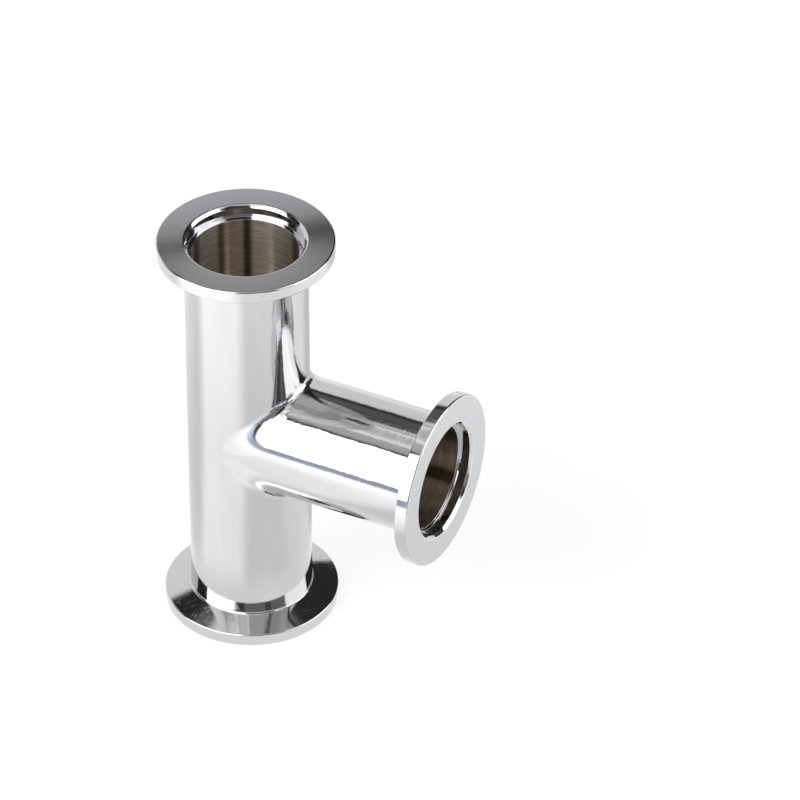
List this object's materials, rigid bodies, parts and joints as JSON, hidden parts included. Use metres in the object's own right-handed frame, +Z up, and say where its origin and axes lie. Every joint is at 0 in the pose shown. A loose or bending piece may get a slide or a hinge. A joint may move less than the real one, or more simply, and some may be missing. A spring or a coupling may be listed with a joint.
{
  "type": "vacuum flange tee",
  "caption": "Equal tee for small-flange vacuum pipework: straight polished tube with a side branch, each open end a turned clamp flange with a centring counterbore.",
  "frame": {"origin": "centre of the lower sealing face, on the axis of the run", "axes": "+Z up the run from the lower port to the upper port, +X along the branch out of the side port, +Y across"},
  "size_m": [0.07, 0.04, 0.1],
  "materials": {
    "polished_tube": "stainless steel, buffed to a soft mirror outside, satin inside",
    "turned_flange": "stainless steel, fine turned rings",
    "ground_weld": "stainless steel weld, ground and polished"
  },
  "bodies": {
    "root": {"run_tube": "polished_tube", "branch_tube": "polished_tube", "upper_flange": "turned_flange", "lower_flange": "turned_flange", "branch_flange": "turned_flange", "saddle_weld": "ground_weld"}
  },
  "joints": []
}
